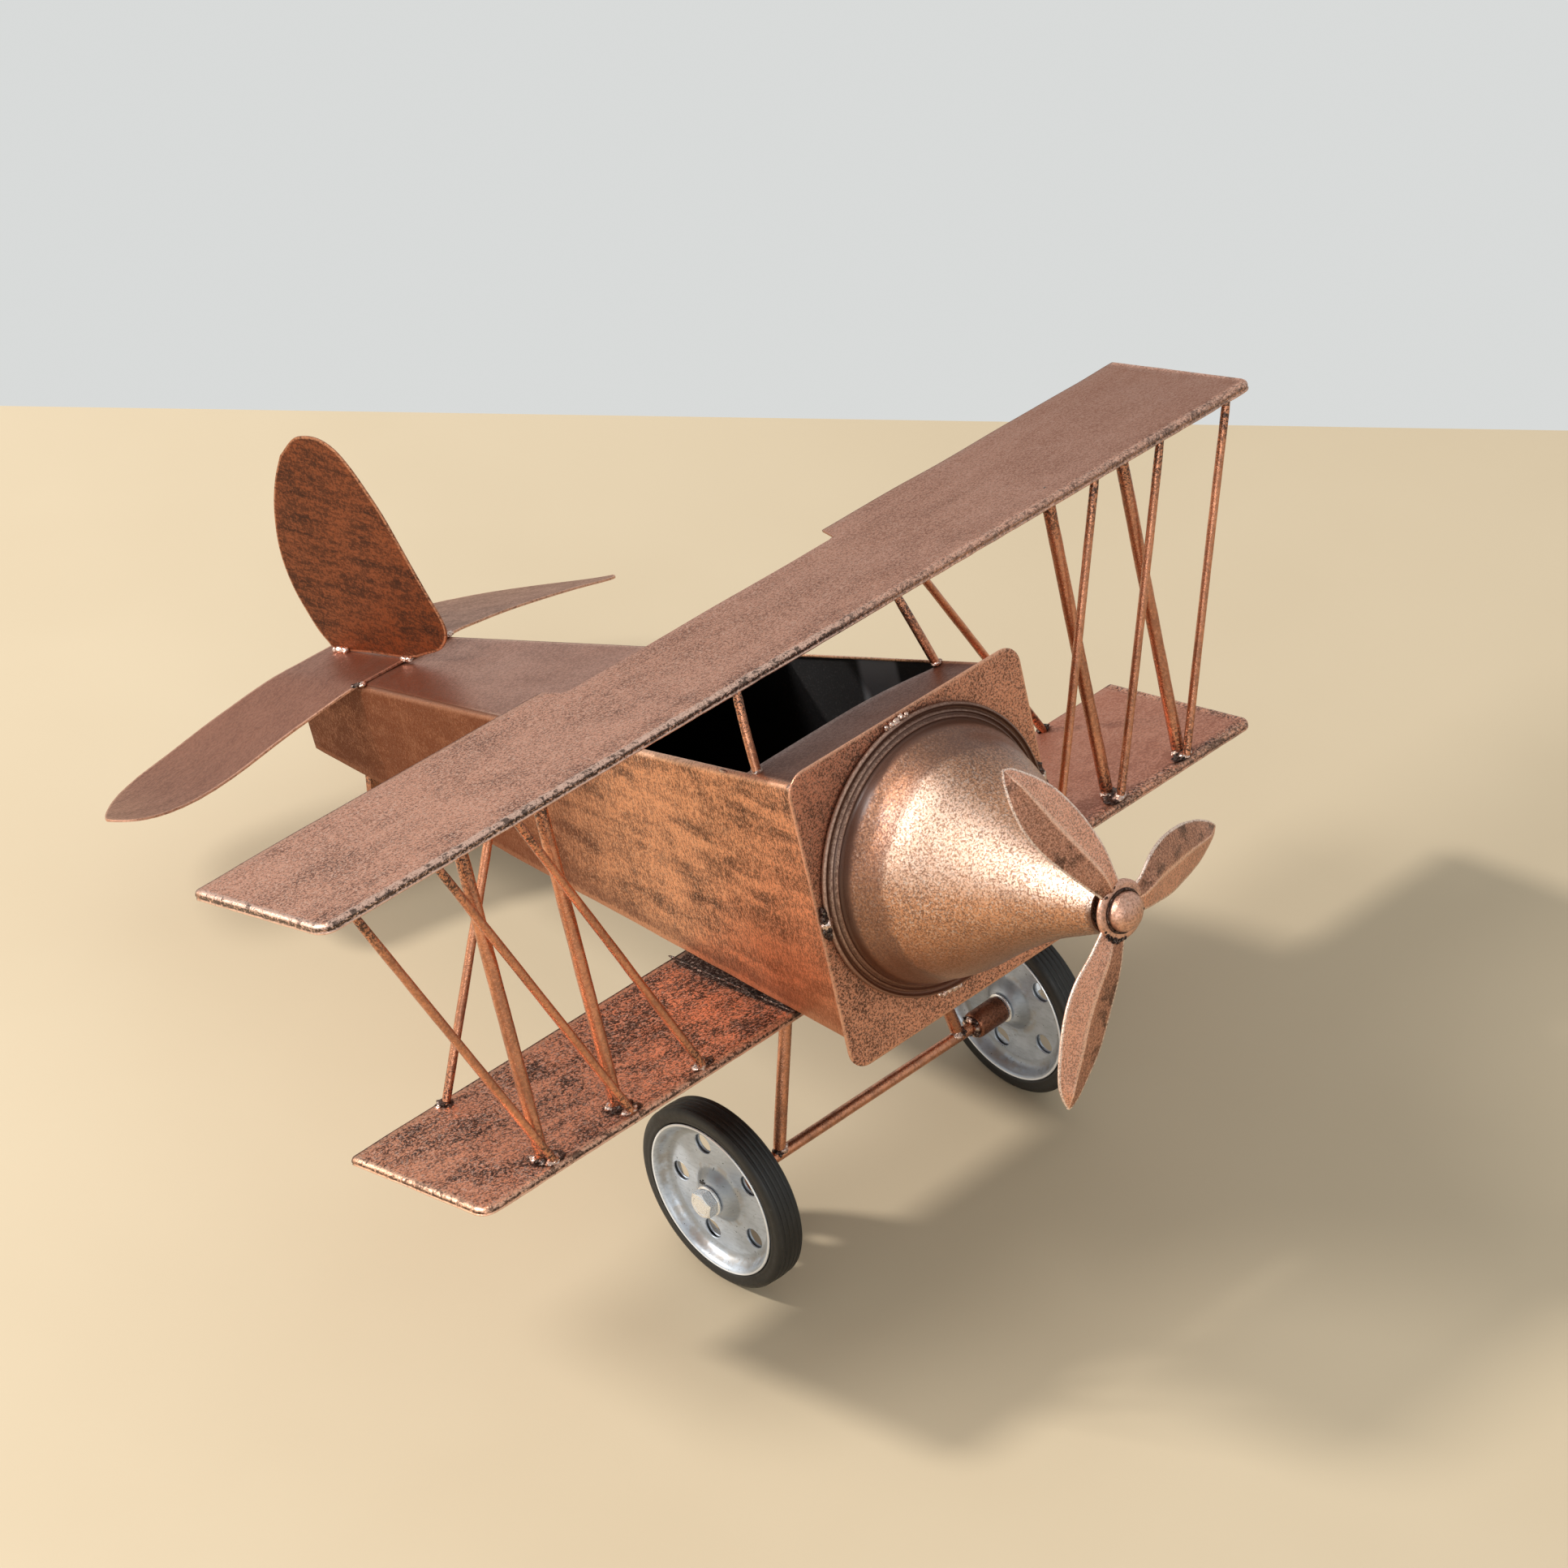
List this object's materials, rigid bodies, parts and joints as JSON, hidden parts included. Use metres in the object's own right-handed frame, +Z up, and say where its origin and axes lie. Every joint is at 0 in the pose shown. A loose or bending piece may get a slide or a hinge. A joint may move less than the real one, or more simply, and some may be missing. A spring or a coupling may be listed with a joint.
{
  "type": "model biplane planter",
  "caption": "Decorative sheet-metal biplane planter: open fuselage well behind a spun nose cone, strut-braced wings, turning propeller and rolling wheels.",
  "frame": {"origin": "on the ground, under the middle of the object's bounding box", "axes": "+Z up; +Y towards the tail, so the nose looks along -Y and rises; +X towards the aircraft's left wing"},
  "size_m": [0.6, 0.633, 0.3472],
  "materials": {
    "body_copper": "antiqued copper finish with dark streaks",
    "nose_copper": "bright worn copper",
    "wing_copper": "antiqued copper with fine speckle",
    "tail_copper": "dark red copper",
    "rod_copper": "antiqued copper",
    "propeller_copper": "antiqued copper with worn edges",
    "dark_copper": "dark unlit copper",
    "wheel_zinc": "zinc plated, stained",
    "bolt_steel": "zinc plated",
    "tyre_rubber": "smooth black"
  },
  "bodies": {
    "airframe": {"fuselage_shell": "body_copper", "fuselage_floor": "dark_copper", "stern_plate": "body_copper", "front_plate": "body_copper", "nose_cone": "nose_copper", "neck_bush": "dark_copper", "upper_wing": "wing_copper", "lower_wing": "wing_copper", "front_strut_outer_left": "rod_copper", "front_strut_middle_left": "rod_copper", "front_strut_inner_left": "rod_copper", "wing_post_outer_left": "rod_copper", "wing_post_inner_left": "rod_copper", "rear_strut_left": "rod_copper", "cabane_strut_left": "rod_copper", "gear_leg_left": "rod_copper", "front_strut_outer_right": "rod_copper", "front_strut_middle_right": "rod_copper", "front_strut_inner_right": "rod_copper", "wing_post_outer_right": "rod_copper", "wing_post_inner_right": "rod_copper", "rear_strut_right": "rod_copper", "cabane_strut_right": "rod_copper", "gear_leg_right": "rod_copper", "axle_rod": "rod_copper", "washer_outer_left": "bolt_steel", "washer_inner_left": "bolt_steel", "axle_bolt_left": "bolt_steel", "axle_boss_left": "rod_copper", "washer_outer_right": "bolt_steel", "washer_inner_right": "bolt_steel", "axle_bolt_right": "bolt_steel", "axle_boss_right": "rod_copper", "stabilizer": "tail_copper", "tail_fin": "tail_copper", "tail_skid": "tail_copper"},
    "wheel_left": {"tyre_left": "tyre_rubber", "wheel_disc_outer_left": "wheel_zinc", "wheel_disc_inner_left": "wheel_zinc", "hub_bush_left": "wheel_zinc"},
    "wheel_right": {"tyre_right": "tyre_rubber", "wheel_disc_outer_right": "wheel_zinc", "wheel_disc_inner_right": "wheel_zinc", "hub_bush_right": "wheel_zinc"},
    "propeller": {"propeller_pin": "dark_copper", "propeller_hub": "propeller_copper", "propeller_dome": "propeller_copper", "propeller_blade_upper": "propeller_copper", "propeller_blade_side": "propeller_copper", "propeller_blade_lower": "propeller_copper"}
  },
  "joints": [
    {"name": "wheel_left_spin", "type": "hinge", "parent": "airframe", "child": "wheel_left", "pos_m": [0.1003, -0.13386, 0.04981], "axis": [1, 0, 0], "continuous": true},
    {"name": "wheel_right_spin", "type": "hinge", "parent": "airframe", "child": "wheel_right", "pos_m": [-0.1003, -0.13386, 0.04981], "axis": [1, 0, 0], "continuous": true},
    {"name": "propeller_spin", "type": "hinge", "parent": "airframe", "child": "propeller", "pos_m": [0, -0.29139, 0.26912], "axis": [0, 0.955, -0.2967], "continuous": true}
  ]
}
